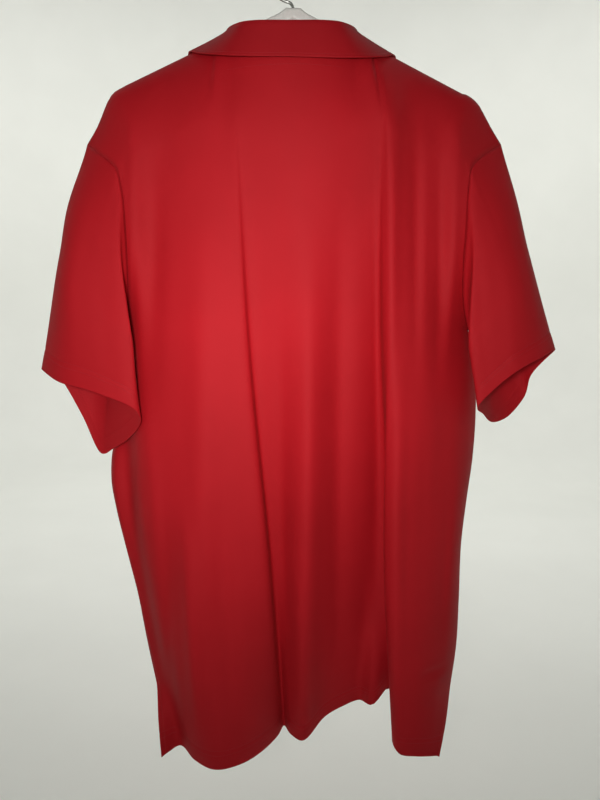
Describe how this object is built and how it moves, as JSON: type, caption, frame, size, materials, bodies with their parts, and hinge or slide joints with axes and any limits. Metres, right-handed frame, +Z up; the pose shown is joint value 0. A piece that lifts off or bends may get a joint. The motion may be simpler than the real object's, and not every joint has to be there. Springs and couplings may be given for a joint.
{
  "type": "polo shirt on a hanger",
  "caption": "Short-sleeved polo shirt with a turned-down collar and a buttoned placket, hanging in soft folds on a moulded hanger with a wire hook; neck, cuffs and vented hem are open.",
  "frame": {"origin": "where a rail bears inside the top of the hook", "axes": "+Z up; the back of the shirt faces -Y and its buttoned front faces +Y; +X is the wearer's right"},
  "size_m": [0.6038, 0.1319, 0.9543],
  "materials": {
    "knit": "matt fine knit",
    "button": "polished",
    "hanger_plastic": "moulded, satin",
    "hook_wire": "plated wire"
  },
  "bodies": {
    "root": {"back": "knit", "front": "knit", "sleeve_left": "knit", "sleeve_right": "knit", "collar": "knit", "placket_upper": "knit", "placket_under": "knit", "button_1": "button", "button_2": "button", "button_3": "button", "hanger": "hanger_plastic", "hook": "hook_wire"}
  },
  "joints": []
}
